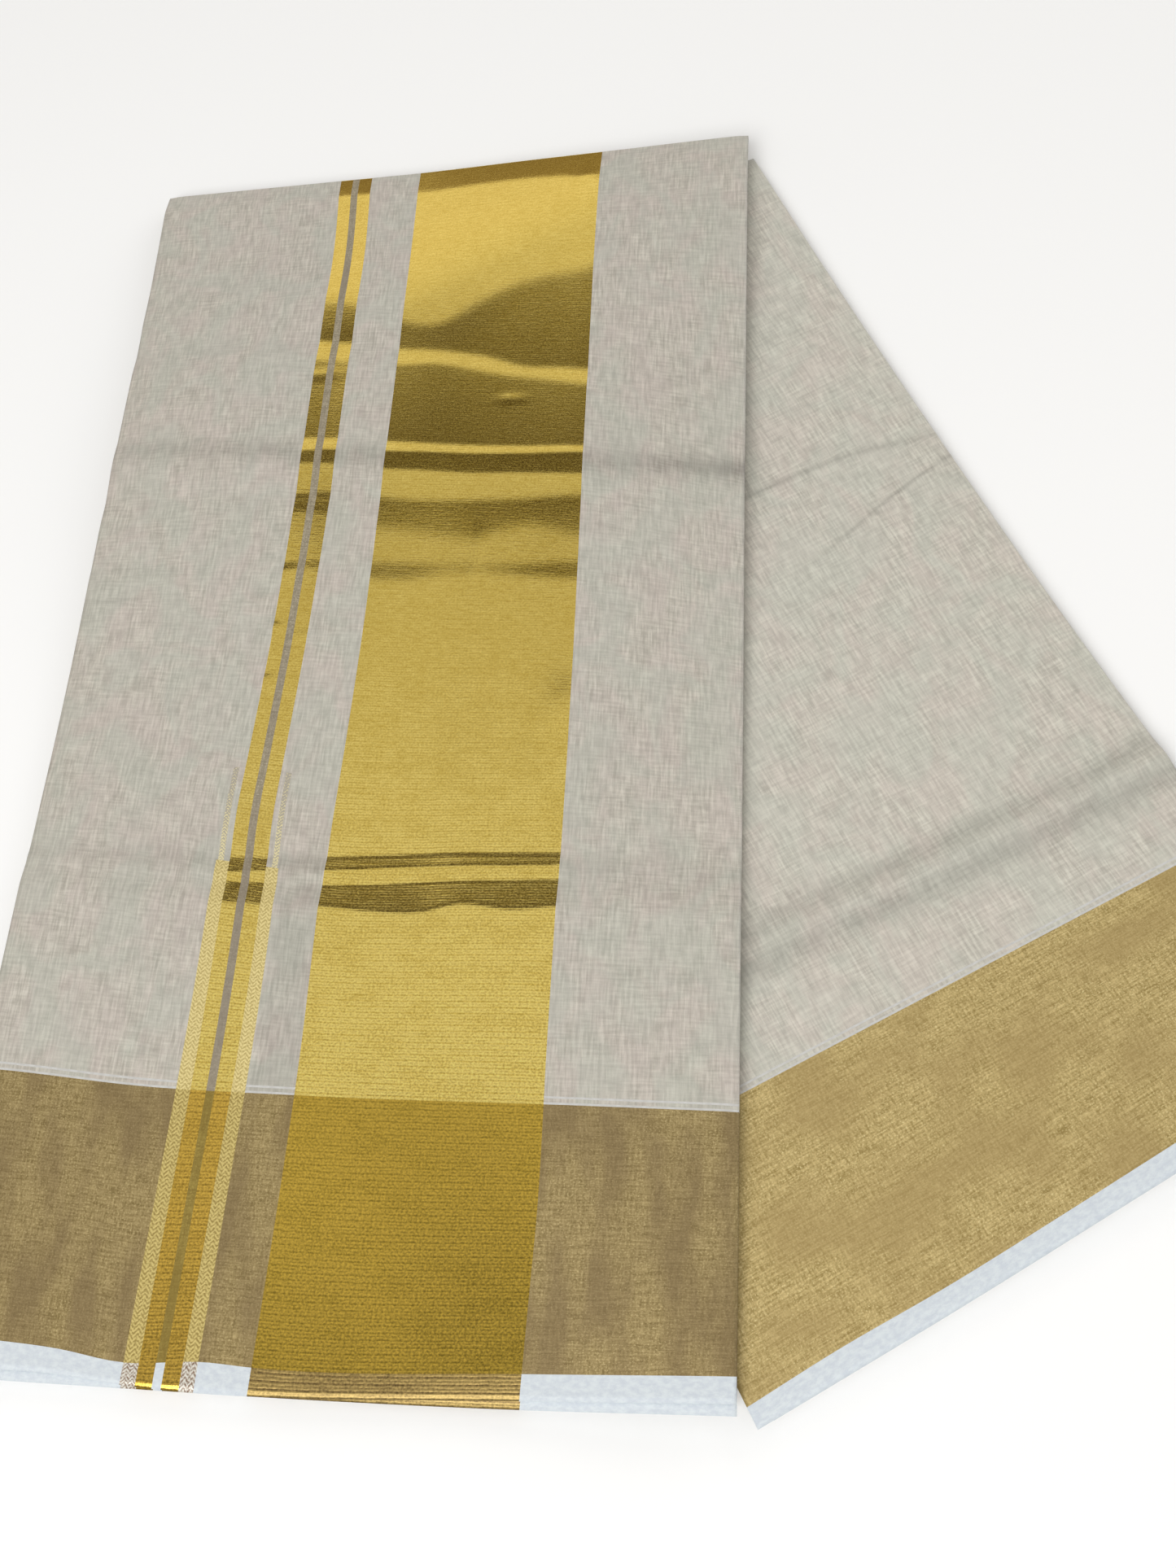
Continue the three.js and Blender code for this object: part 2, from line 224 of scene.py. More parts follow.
def cotton_tissue(name, pale, deep, pink, green):
    material, tree, shader = new_material(name, Roughness=0.62, Sheen_Weight=0.25, Sheen_Roughness=0.5)
    shader.inputs["Specular IOR Level"].default_value = 0.35
    warp = noise(tree, 1.1, 11.0, detail=3.0, roughness=0.6)
    weft = noise(tree, 11.0, 1.1, detail=3.0, roughness=0.6)
    threads = summed(tree, warp, summed(tree, weft, 0.6, "MULTIPLY"))
    slub = sharpened(tree, threads, 0.57, 1.03)
    mottle = sharpened(tree, noise(tree, 5.0, 7.0, detail=3.0, roughness=0.6), 0.35, 0.65, 0.96, 1.04)
    cast = sharpened(tree, noise(tree, 13.0, 26.0, detail=4.0, roughness=0.6), 0.40, 0.62)
    cloud = sharpened(tree, noise(tree, 24.0, 30.0, detail=4.0, distortion=0.6), 0.42, 0.60)
    cloth = mixed(tree, slub, linear(deep), linear(pale))
    tinted = mixed(tree, summed(tree, cast, 0.45, "MULTIPLY"), cloth, linear(pink))
    tinted = mixed(tree, summed(tree, cloud, 0.45, "MULTIPLY"), tinted, linear(green))
    # Painted shade: along the creases, and beside the narrow stripes, a point attribute mixes the colour
    # towards a near-black.
    painted_shade_here = node(tree, "ShaderNodeAttribute", attribute_name="painted_crease_shade").outputs["Fac"]
    tinted = mixed(tree, painted_shade_here, tinted, linear(PAINTED_CREASE_SHADE_COLOUR))
    tone = summed(tree, sharpened(tree, threads, 0.57, 1.03, 0.93, 1.07), mottle, "MULTIPLY")
    toned = node(tree, "ShaderNodeVectorMath", {0: tinted, "Scale": tone}, operation="SCALE").outputs[0]
    tree.links.new(toned, shader.inputs["Base Color"])
    woven_bump(tree, shader, threads, 0.07)
    return material


hidden_tissue = cotton_tissue("cotton_tissue_folded_edge", "#BFB8AC", "#A29B8C", "#B6AA9F", "#AAA999")


def folded_panel(name, left, right, bottom, top, rows, form, base):
    """One flat panel of two layers, closed by folds at its sides and top and open at its bottom.

    `base` is where its underside lies and `form` how the pile's top departs from flat there.
    """
    across = np.linspace(0, 1, 22)
    bend = np.linspace(0, np.pi, 6)[1:-1]
    half = PANEL_HEIGHT / 2
    ring = [(part, 0.0, half) for part in across]
    ring += [(1.0, np.sin(a), half * np.cos(a)) for a in bend]
    ring += [(part, 0.0, -half) for part in across[::-1]]
    ring += [(0.0, -np.sin(a), -half * np.cos(a)) for a in bend]
    closes = 1 - TOP_CLOSES_FROM
    ends = np.concatenate([np.linspace(0, TOP_CLOSES_FROM, rows),
                           1 - closes * (1 - np.linspace(0.25, 1, 5)) ** 1.5])
    part, out, high = np.array(ring).T
    end = ends[:, None]
    closing = np.sqrt(np.clip(1 - np.clip((end - TOP_CLOSES_FROM) / closes, 0, 1) ** 2, 0.002, 1))
    flat_y = bottom(0.0) + ends * (top(0.0) - bottom(0.0))
    low_x = (left(flat_y) + PANEL_BACK + half)[:, None]
    high_x = (right(flat_y) - PANEL_BACK - half)[:, None]
    x = low_x + part * (high_x - low_x) + out * half
    low_y = bottom(x) + PANEL_BACK * 0.6
    y = low_y + end * (top(x) - PANEL_BACK - low_y)
    points = np.stack([x, y, base(x, y) + half + high * closing], axis=-1).reshape(-1, 3)
    loop = len(ring)
    faces = []
    for j in range(len(ends) - 1):
        for i in range(loop):
            near = j * loop + i
            side = j * loop + (i + 1) % loop
            faces.append((near, side, side + loop, near + loop))
    faces.append([(len(ends) - 1) * loop + i for i in range(loop)])
    return points, faces, form(x, y).ravel()


# A pile repeats one folded panel upwards, each a little out of line with the last. The form of
# the pile's top, with its creases and dipped edges, fades away towards the lowest panel.
def pile_tree(name, material):
    tree = bpy.data.node_groups.new(name, "GeometryNodeTree")
    tree.interface.new_socket("Panel", in_out="INPUT", socket_type="NodeSocketGeometry")
    count = tree.interface.new_socket("Panels", in_out="INPUT", socket_type="NodeSocketInt")
    pitch = tree.interface.new_socket("Pitch", in_out="INPUT", socket_type="NodeSocketFloat")
    wander = tree.interface.new_socket("Wander", in_out="INPUT", socket_type="NodeSocketFloat")
    tree.interface.new_socket("Pile", in_out="OUTPUT", socket_type="NodeSocketGeometry")
    given = node(tree, "NodeGroupInput").outputs
    rise = node(tree, "ShaderNodeCombineXYZ", {"Z": given["Pitch"]})
    places = node(tree, "GeometryNodeMeshLine", {"Count": given["Panels"], "Offset": rise.outputs[0]},
                  mode="OFFSET")
    stacked = node(tree, "GeometryNodeInstanceOnPoints",
                   {"Points": places.outputs[0], "Instance": given["Panel"]})
    low = node(tree, "ShaderNodeMath", {0: given["Wander"], 1: -1.0}, operation="MULTIPLY")
    low_side = node(tree, "ShaderNodeCombineXYZ", {"X": low.outputs[0], "Y": low.outputs[0]})
    high_side = node(tree, "ShaderNodeCombineXYZ", {"X": given["Wander"], "Y": given["Wander"]})
    shift = node(tree, "FunctionNodeRandomValue",
                 {"Min": low_side.outputs[0], "Max": high_side.outputs[0], "Seed": 7},
                 data_type="FLOAT_VECTOR")
    moved = node(tree, "GeometryNodeTranslateInstances",
                 {"Instances": stacked.outputs[0], "Translation": shift.outputs[0]})
    index = node(tree, "GeometryNodeInputIndex")
    level = node(tree, "ShaderNodeMath", {0: index.outputs[0], 1: 0.5}, operation="ADD")
    part = node(tree, "ShaderNodeMath", {0: level.outputs[0], 1: given["Panels"]}, operation="DIVIDE")
    marked = node(tree, "GeometryNodeStoreNamedAttribute",
                  {"Geometry": moved.outputs[0], "Name": "level", "Value": part.outputs[0]},
                  domain="INSTANCE", data_type="FLOAT")
    loose = node(tree, "GeometryNodeRealizeInstances", {"Geometry": marked.outputs[0]})
    level_here = node(tree, "GeometryNodeInputNamedAttribute", {"Name": "level"}, data_type="FLOAT")
    form_here = node(tree, "GeometryNodeInputNamedAttribute", {"Name": "form"}, data_type="FLOAT")
    lift = node(tree, "ShaderNodeMath", {0: level_here.outputs[0], 1: form_here.outputs[0]},
                operation="MULTIPLY")
    offset = node(tree, "ShaderNodeCombineXYZ", {"Z": lift.outputs[0]})
    formed = node(tree, "GeometryNodeSetPosition",
                  {"Geometry": loose.outputs[0], "Offset": offset.outputs[0]})
    dressed = node(tree, "GeometryNodeSetMaterial",
                   {"Geometry": formed.outputs[0], "Material": material})
    node(tree, "NodeGroupOutput", {"Pile": dressed.outputs[0]})
    return tree, {"Panels": count.identifier, "Pitch": pitch.identifier, "Wander": wander.identifier}


def finished_mesh(name, mesh):
    """A piece with this mesh, linked to the scene."""
    piece = bpy.data.objects.new(name, mesh)
    bpy.context.scene.collection.objects.link(piece)
    return piece


def pile_of_panels(name, panel, material):
    """The pile as one plain mesh, with cloth walls."""
    points, faces, forms = panel
    mesh = bpy.data.meshes.new(name)
    mesh.from_pydata(placed(points).tolist(), [], faces)
    mesh.attributes.new("form", "FLOAT", "POINT").data.foreach_set("value", forms * MM)
    uv = mesh.uv_layers.new(name="cloth")
    corner = np.array([loop.vertex_index for loop in mesh.loops])
    flat = np.array(points)[:, :2] * MM
    uv.data.foreach_set("uv", flat[corner].ravel())
    mesh.shade_smooth()
    rough = finished_mesh(name + "_one", mesh)
    tree, sockets = pile_tree("pile_of_folded_panels", material)
    pile = rough.modifiers.new("pile", "NODES")
    pile.node_group = tree
    pile[sockets["Panels"]] = PANELS
    pile[sockets["Pitch"]] = PANEL_PITCH * MM
    pile[sockets["Wander"]] = PANEL_WANDER * MM
    wall = rough.modifiers.new("wall", "SOLIDIFY")
    wall.thickness = PANEL_WALL * MM
    wall.offset = -1
    evaluated = rough.evaluated_get(bpy.context.evaluated_depsgraph_get())
    plain = bpy.data.meshes.new_from_object(evaluated)
    bpy.data.objects.remove(rough)
    return finished_mesh(name, plain)


fan_left = line_through((0, 0), (FAN_LENGTH, 0))
fan_right = line_through((12.8, 252), (140, 251.2), (240, 254.4), (322, 258.7), (418, 265), (505, 271.8))
fan_bottom = line_through((0, 0), (84, 3.7), (162, 8.2), (252, 12.8), (272, 13.9))
fan_top = line_through((0, FAN_LENGTH), (272, FAN_LENGTH))
fan_low_crease = line_through((0, 150), (74, 147.8), (185, 142.1), (252, 140.3), (272, 140))
fan_high_crease = line_through((0, 346), (173, 329.1), (221, 324.5), (257, 314.5), (272, 312))
fan_second_crease = line_through((0, 262), (198.6, 289), (218.7, 294.7), (254.6, 301.3), (272, 303))


def fan_place(a, b):
    """X and Y in the cloth's frame of a place in the fan's own turned frame."""
    x = FAN_CORNER[0] + a * np.cos(FAN_TURN) - b * np.sin(FAN_TURN)
    y = FAN_CORNER[1] + a * np.sin(FAN_TURN) + b * np.cos(FAN_TURN)
    return x, y


def turned(points):
    """Points of the fan's own turned frame, as points of the cloth's frame."""
    a, b, z = np.asarray(points, float).T
    return np.array([*fan_place(a, b), z]).T


def fan_form(a, b):
    """How the fan's top departs from flat: its creases, pressed out under the pallu, and edges."""
    x, _ = fan_place(a, b)
    shown = smooth((x - CREASES_SHOW_FROM) / (CREASES_SHOW_TO - CREASES_SHOW_FROM))
    low = b - fan_low_crease(a)
    high = b - fan_high_crease(a)
    second = b - fan_second_crease(a)
    crest = 1.3 * np.exp(-(low / 5.0) ** 2) - 0.35 * np.exp(-((low + 11) / 5.0) ** 2)
    crest += 0.3 * np.exp(-(high / 1.8) ** 2) + 0.2 * np.exp(-(second / 1.6) ** 2)
    inside = np.minimum(b - fan_bottom(a), fan_right(b) - a)
    return shown * crest - EDGE_DIP * (1 - smooth(inside / EDGE_REACH))


def fan_painted_crease_shade(a, b):
    """Painted shade in the cloth's colour on both sides of the low crease, and along the faint upper ones."""
    low = b - fan_low_crease(a)
    shade = 0.18 * np.exp(-((low - 6.5) / 4.5) ** 2) + 0.24 * np.exp(-((low + 7.5) / 5.5) ** 2)
    depth = line_through((0, 0.34), (60, 0.42), (120, 0.29), (190, 0.25), (252, 0.17), (272, 0.12))(a)
    shade += depth * np.exp(-((b - fan_high_crease(a)) / 1.5) ** 2)
    return shade + 0.26 * smooth((a - 170) / 35) * np.exp(-((b - fan_second_crease(a)) / 1.0) ** 2)


fan_panel = folded_panel("fan_layers", fan_left, fan_right, fan_bottom, fan_top, 40, fan_form,
                         lambda a, b: PANEL_LIFT + 0 * a)
fan_layers = pile_of_panels("fan_layers", (turned(fan_panel[0]), fan_panel[1], fan_panel[2]), hidden_tissue)
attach(fan_layers, "root")
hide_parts("fan_folds")


# The fan's top panel. The same cloth, its border woven with gilt thread along the bottom between
# an ivory line and a white cotton selvedge. It folds under at its right edge, and two creases
# from an older fold cross it.
FAN_SELVEDGE = 8.0
FAN_BORDER = 100.4
IVORY_LINES = ((0.0, 0.8), (2.2, 3.0))

fan_tissue = cotton_tissue("cotton_tissue_fan", "#CDC9BC", "#B6B1A5", "#C9BEB4", "#BFC1B4")


# Gilt border tissue: gold wrapped thread packed closely one way over brownish cotton the other,
# so it is a dull gold full of brighter points.
def border_tissue(name, brown, gold, glint, patches, patch_size=(13.0, 40.0)):
    material, tree, shader = new_material(name, Roughness=0.45, Metallic=0.35)
    shader.inputs["Specular IOR Level"].default_value = 0.4
    grain = noise(tree, 0.8, 0.7, detail=2.0, roughness=0.7)
    streak = noise(tree, 1.0, 5.0, detail=3.0, roughness=0.6)
    line = noise(tree, 12.0, 0.8, detail=2.0, roughness=0.6)
    patch = sharpened(tree, noise(tree, *patch_size, detail=3.0, roughness=0.4), 0.38, 0.66)
    speckle = sharpened(tree, summed(tree, grain, summed(tree, streak, line)), 1.10, 1.90)
    cloth = mixed(tree, speckle, linear(brown), linear(gold))
    cloth = mixed(tree, sharpened(tree, grain, 0.60, 0.80), cloth, linear(glint))
    cloth = mixed(tree, summed(tree, patch, 0.6, "MULTIPLY"), cloth, linear(patches))
    tree.links.new(cloth, shader.inputs["Base Color"])
    woven_bump(tree, shader, summed(tree, grain, line), 0.05)
    return material


fan_border_tissue = border_tissue("gilt_border_tissue_fan", "#9A844B", "#D8C186", "#EBDCA4", "#AD9560",
                                  (30.0, 26.0))


# White cotton: the selvedge and the line above the border are plain, bleached cotton, woven in
# with the rest of the cloth.
def white_cotton(name, pale, deep):
    material, tree, shader = new_material(name, Roughness=0.7, Sheen_Weight=0.2)
    warp = noise(tree, 3.0, 1.6, detail=4.0, roughness=0.65)
    tree.links.new(mixed(tree, sharpened(tree, warp, 0.35, 0.65), linear(deep), linear(pale)),
                   shader.inputs["Base Color"])
    woven_bump(tree, shader, warp, 0.05)
    return material


selvedge_cotton = white_cotton("bleached_cotton_selvedge", "#D6DDE0", "#C8CFD6")
ivory_cotton = white_cotton("bleached_cotton_line", "#CBCAC6", "#BFBDB8")


def cloth_piece(name, points, flat, zones, materials, painted_crease_shade):
    """A sheet from a grid of outer points, with its flat places as UV and a material per face.

    The last argument is how far each point's colour is darkened by painted shade along the creases.
    """
    rows, columns = points.shape[:2]
    corner = np.arange(rows * columns).reshape(rows, columns)
    faces = np.stack([corner[:-1, :-1], corner[:-1, 1:], corner[1:, 1:], corner[1:, :-1]], axis=-1)
    mesh = bpy.data.meshes.new(name)
    mesh.from_pydata(placed(points.reshape(-1, 3)).tolist(), [], faces.reshape(-1, 4).tolist())
    uv = mesh.uv_layers.new(name="cloth")
    used = np.zeros(len(mesh.loops), dtype=np.int32)
    mesh.loops.foreach_get("vertex_index", used)
    uv.data.foreach_set("uv", (flat.reshape(-1, 2) * MM)[used].ravel())
    for material in materials:
        mesh.materials.append(material)
    mesh.polygons.foreach_set("material_index", zones.ravel().astype(np.int32))
    # Painted shade along the creases, stored on the points for the cloth's colour.
    mesh.attributes.new("painted_crease_shade", "FLOAT", "POINT").data.foreach_set("value", painted_crease_shade.ravel())
    mesh.shade_smooth()
    piece = finished_mesh(name, mesh)
    wall = piece.modifiers.new("cloth", "SOLIDIFY")
    wall.thickness = CLOTH * MM
    wall.offset = -1
    return piece


def middles(values):
    return (values[1:] + values[:-1]) / 2


FOLD_ANGLES = np.radians([65, 40, 15, -10, -35, -60, -82])

ivory_rows = [row for line in IVORY_LINES for row in line]
fan_rows = spread(
    [0, FAN_SELVEDGE, *[FAN_BORDER + row for row in ivory_rows], 125, 166, 280, 350, FAN_LENGTH],
    [2.0, 5.0, 0.8, 1.4, 0.8, 4.0, 1.2, 5.0, 0.8, 8.0])
fan_columns = spread([0, 8, 60, FAN_WIDTH - 8, FAN_WIDTH - FOLD_RADIUS], [2.0, 6.0, 5.0, 1.5])
fan_flat_y = [0, FAN_SELVEDGE, FAN_BORDER, FAN_LENGTH]
fan_selvedge_line = line_through((-1, 7.5), (34, 9.8), (79, 11.1), (125.5, 13.8), (169, 16.7), (272, 24))
fan_border_line = line_through((0, FAN_BORDER), (272, FAN_BORDER))
fan_lines_y = [fan_bottom, fan_selvedge_line, fan_border_line, fan_top]
fan_a, fan_b = grid_places([0, FAN_WIDTH], [fan_left, fan_right], fan_flat_y, fan_lines_y,
                           fan_columns, fan_rows)
fan_upper = np.stack([fan_a, fan_b, STACK + fan_form(fan_a, fan_b)], axis=-1)
fan_rim = fan_upper[:, -1:, :]
fan_fold = fan_rim + np.stack([FOLD_RADIUS * np.cos(FOLD_ANGLES), 0 * FOLD_ANGLES,
                               FOLD_RADIUS * (np.sin(FOLD_ANGLES) - 1)], axis=-1)
fan_lower = fan_upper[:, ::-4, :] - [0, 0, 2 * FOLD_RADIUS]
fan_points = np.concatenate([fan_upper, fan_fold, fan_lower], axis=1)
under = FAN_WIDTH + np.linspace(0, 1, fan_fold.shape[1] + fan_lower.shape[1]) * FAN_WIDTH
fan_u = np.concatenate([fan_columns, under])
fan_flat = np.stack(np.meshgrid(fan_u, fan_rows), axis=-1)
row_middles = middles(fan_rows)
fan_zone_rows = np.select(
    [row_middles < FAN_SELVEDGE, row_middles < FAN_BORDER,
     *[abs(row_middles - FAN_BORDER - (low + high) / 2) < (high - low) / 2 for low, high in IVORY_LINES]],
    [2, 1, 3, 3], 0)
fan_zones = np.repeat(fan_zone_rows[:, None], fan_points.shape[1] - 1, axis=1)
fan_sheet = cloth_piece("fan_sheet", turned(fan_points.reshape(-1, 3)).reshape(fan_points.shape), fan_flat,
                        fan_zones, [fan_tissue, fan_border_tissue, selvedge_cotton, ivory_cotton],
                        fan_painted_crease_shade(fan_points[..., 0], fan_points[..., 1]))
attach(fan_sheet, "root")
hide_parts("fan_stretch")


# The hidden panels of the pallu's stack. They are the next panels of the same cloth, laid on the
# fan, and sink to the floor past its edges.
DRAPE_REACH = 100.0
AIR = 0.3
TOP_DIP = 0.3
TOP_DIP_REACH = 20.0

pallu_left = line_through((0, -301), (100, -300), (207, -299.0), (330, -298.0), (409, -297.2), (500, -299.5),
                          (575, -303))
pallu_right = line_through((0, 0), (575, 0))
pallu_bottom = line_through((-303, 1.2), (-243, 0.8), (-219, -1.6), (-74, -1.0), (0, 1.0))
pallu_back_bottom = line_through((-303, -1.4), (-219, -2.7), (-170, -3.4), (-74, -3.6), (0, -2.6))
pallu_top = line_through((-303, 576.0), (-200, 577.2), (-120, 578.0), (-50, 576.6), (0, 576.6))
pallu_low_crease = line_through((-303, 207), (-257, 203), (-213, 197), (-166, 189), (-70, 186), (0, 182))
pallu_high_crease = line_through((-303, 409), (-230, 405), (-165, 398), (-115, 394), (-70, 388), (0, 368))


def drape(x, y):
    """How high the pallu's stack is carried: by the fan, and sinking to the floor beyond it."""
    a = (x - FAN_CORNER[0]) * np.cos(FAN_TURN) + (y - FAN_CORNER[1]) * np.sin(FAN_TURN)
    b = (y - FAN_CORNER[1]) * np.cos(FAN_TURN) - (x - FAN_CORNER[0]) * np.sin(FAN_TURN)
    beyond = np.hypot(np.maximum(-a, 0), np.maximum(b - FAN_LENGTH, 0))
    return (STACK + AIR) * (1 - smooth(beyond / DRAPE_REACH))


# Bands of the pallu's top, from its top fold down: the line where one ends, how softly, and the
# cloth's lean above and below it in degrees, positive towards the bottom edge. Pairs give a lean
# that changes across. The leans are read from the gold, which turns bright or dark with them.
CREASE_LEAN = ((-303, -7.5), (-205, -9.4), (-160, -12.2), (-120, -11.5), (-85, -9.9), (0, -9.5))
WAVE_LEAN = ((-212, -2.6), (-190, 0.0), (-166, 0.2), (-142, 0.4), (-126, 1.5), (-108, 1.3), (-94, 0.3),
             (-71, 0.2))
PALLU_BANDS = [
    (((-303, 563), (-212, 562), (-190, 562), (-164, 560), (-130, 562), (-100, 561), (-85, 558),
      (-72, 552), (0, 552)), 4.0, ((-215, -10), (-185, -10), (-164, -6), (0, -6)), -1.6),
    (((-303, 486), (-212, 489), (-190, 484), (-164, 470), (-143, 466), (-126, 478), (-108, 488), (-93, 492),
      (-76, 494), (-60, 500), (0, 504)), 6.0, -1.5,
     ((-303, 3), (-212, 5), (-190, 4.6), (-164, 1.3), (0, 1.3))),
    (((-303, 464.5), (-212, 463.5), (-190, 459.5), (-164, 453), (-143, 450.5), (-120, 445.5), (-100, 438),
      (-86, 436.5), (-72, 434), (0, 426.5)), 4.0,
     ((-303, 1), (-212, 4.5), (-190, 3.8), (-164, 0.9), (0, 0.9)), -4.2),
    (((-303, 452.5), (-212, 451.5), (-190, 448.5), (-164, 443.5), (-143, 442.5), (-120, 436.5),
      (-108, 433.5), (-93, 430.5), (-72, 425.5), (0, 417.5)), 3.0, -4.2, -0.3),
    (((-303, 411.8), (-212, 404.8), (-190, 402.8), (-164, 399.3), (-143, 396.8), (-120, 394.3), (-100, 392.8),
      (-72, 390.8), (0, 374.8)), 2.0, -0.5, -5.6),
    (((-303, 402.8), (-212, 395.8), (-190, 396.3), (-164, 393.3), (-143, 391.3), (-120, 389.3), (-100, 388.3),
      (-72, 386.8), (0, 367.8)), 2.0, -5.6, 1.0),
    (((-303, 394.8), (-212, 389.8), (-190, 388.8), (-164, 383.8), (-143, 381.3), (-120, 378.8), (-100, 377.8),
      (-72, 375.3), (0, 356.8)), 2.5, 1.0, 5.8),
    (((-303, 378), (-212, 372.5), (-190, 372.5), (-164, 370), (-150, 367.5), (-130, 366),
      (-100, 365), (-72, 365), (0, 351)), 4.0, 4.6, ((-190, -2.1), (-164, 1.15), (-71, 1.1))),
    (((-303, 365), (-212, 365), (-190, 365), (-164, 353), (-150, 351), (-143, 349), (-120, 345),
      (-90, 351), (-72, 344), (0, 336)), 8.0, ((-190, -2.3), (-164, 1.15), (-71, 1.1)), 3.0),
    (((-303, 340), (-212, 336), (-190, 336), (-164, 336), (-143, 334.5), (-128, 334.5),
      (-93, 332), (-72, 331.5), (0, 325)), 5.0, 2.8, WAVE_LEAN),
    (((-303, 338), (-212, 333), (-190, 334.5), (-164, 326.5), (-143, 325), (-128, 326.5),
      (-93, 325), (-72, 322), (0, 318)), 5.0, WAVE_LEAN, 3.0),
    (((-303, 290), (0, 280)), 20.0, 2.0, 1.2),
    (((-303, 240), (0, 235)), 10.0, 0.0, 0.0),
    (((-303, 206), (-212, 200.5), (-190, 199.5), (-164, 199), (-120, 198.5), (-71, 197.5), (0, 193.5)),
     3.5, 0.0, CREASE_LEAN),
    (((-303, 202), (-212, 193.5), (-190, 193.5), (-164, 192.5), (-120, 192.8), (-71, 192.3), (0, 189)),
     1.5, CREASE_LEAN, 0.5),
    (((-303, 199), (-212, 189.5), (-190, 188.5), (-164, 186.5), (-120, 186.3), (-71, 186.2), (0, 182)),
     1.5, 0.5, CREASE_LEAN),
    (((-303, 190), (-212, 180), (-190, 178), (-164, 176), (-143, 173), (-126, 172), (-108, 175.5),
      (-90, 173), (-71, 174), (0, 171)), 4.0, CREASE_LEAN, 0.9),
    (((-303, 110), (0, 98)), 10.0, 0.7, 0.7),
    (((-303, 60), (0, 60)), 10.0, 0.0, 0.0),
]
TOP_LEAN = ((-215, -13), (-185, -13), (-164, -6.5), (0, -6.5))

# Small dents and lumps on the stripes: where each is, its reach across and along, and its height.
PALLU_DENTS = [
    (-106, 419.5, 6.0, 1.8, 0.2), (-200, 440.5, 9.0, 2.5, 0.2), (-72, 262, 9.0, 14.0, 0.55),
    (-202, 334, 3.0, 2.5, 0.15), (-204, 306, 3.0, 2.5, 0.45), (-191, 301, 3.0, 2.2, 0.2),
    (-204.5, 281, 3.0, 2.5, 0.42), (-115, 340, 2.5, 12.0, 0.12), (-78, 558, 4.0, 4.0, 0.3),
]


def pallu_relief(x, y):
    """Low relief of the pallu's top from its leans, level at its top fold and bottom edge."""
    shape = np.shape(x)
    x, y = np.ravel(x), np.ravel(y)
    stops, leans = [np.full(len(x), -5.0)], [0.0]
    for points, soft, above, below in PALLU_BANDS[::-1]:
        line = line_through(*points)(x)
        stops += [line - soft / 2, line + soft / 2]
        leans += [below, above]
    stops = np.maximum.accumulate(np.array(stops + [np.full(len(x), PALLU_TOP_EDGE + 3)]), axis=0)
    leans = [np.interp(x, *zip(*lean)) if isinstance(lean, tuple) else lean + 0 * x
             for lean in leans + [TOP_LEAN]]
    slopes = np.tan(np.radians(leans))
    steps = (slopes[1:] + slopes[:-1]) / 2 * np.diff(stops, axis=0)
    heights = np.vstack([np.zeros(len(x)), np.cumsum(steps, axis=0)])
    level = np.clip((stops <= y).sum(axis=0) - 1, 0, len(slopes) - 2)
    each = np.arange(len(x))
    low, high = stops[level, each], stops[level + 1, each]
    part = np.clip(y - low, 0, high - low)
    start = slopes[level, each]
    change = (slopes[level + 1, each] - start) / np.maximum(high - low, 0.01)
    height = heights[level, each] + start * part + change * part ** 2 / 2
    height -= heights[-1] * smooth(y / PALLU_TOP_EDGE)
    for at_x, at_y, reach_x, reach_y, rise in PALLU_DENTS:
        height += rise * np.exp(-((x - at_x) / reach_x) ** 2 - ((y - at_y) / reach_y) ** 2)
    return height.reshape(shape)


def pallu_form(x, y):
    """How the pallu stack's top departs from flat."""
    inside = np.minimum(x - pallu_left(y), pallu_right(y) - x)
    near_top = np.clip(1 - (pallu_top(x) - y) / TOP_DIP_REACH, 0, 1)
    edges = EDGE_DIP * (1 - smooth(inside / EDGE_REACH)) + TOP_DIP * near_top ** 2
    return pallu_relief(x, y) - edges


def pallu_painted_crease_shade(x, y):
    """Painted shade in the cloth's colour along the creases, along a short faint line at the left edge, and
    beside the narrow stripes below them.
    """
    high = y - line_through((-303, 406), (-260, 402), (-180, 391.5), (-120, 386), (-35, 378), (0, 373))(x)
    low = y - line_through((-303, 206), (-260, 203.5), (-180, 197), (-35, 188), (0, 185))(x)
    high_depth = line_through((-303, 0.12), (-260, 0.13), (-180, 0.20), (-35, 0.27), (-12, 0.33),
                              (0, 0.42))(x)
    low_depth = line_through((-303, 0.05), (-260, 0.07), (-180, 0.18), (-35, 0.08), (0, 0.10))(x)
    shade = high_depth * np.exp(-(high / 6.0) ** 2) + low_depth * np.exp(-(low / 4.0) ** 2)
    beside = smooth((x + 187) / 2) * smooth((-166 - x) / 2) * smooth((189 - y) / 4)
    short = 0.12 * np.exp(-((y - 325) / 1.3) ** 2) * smooth((-258 - x) / 20)
    return np.maximum(shade, 0.12 * beside) + short


pallu_panel = folded_panel("pallu_layers", pallu_left, pallu_right, pallu_bottom, pallu_top, 60, pallu_form,
                           lambda x, y: PANEL_LIFT + drape(x, y))
pallu_layers = pile_of_panels("pallu_layers", pallu_panel, hidden_tissue)
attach(pallu_layers, "root")
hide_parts("pallu_folds")


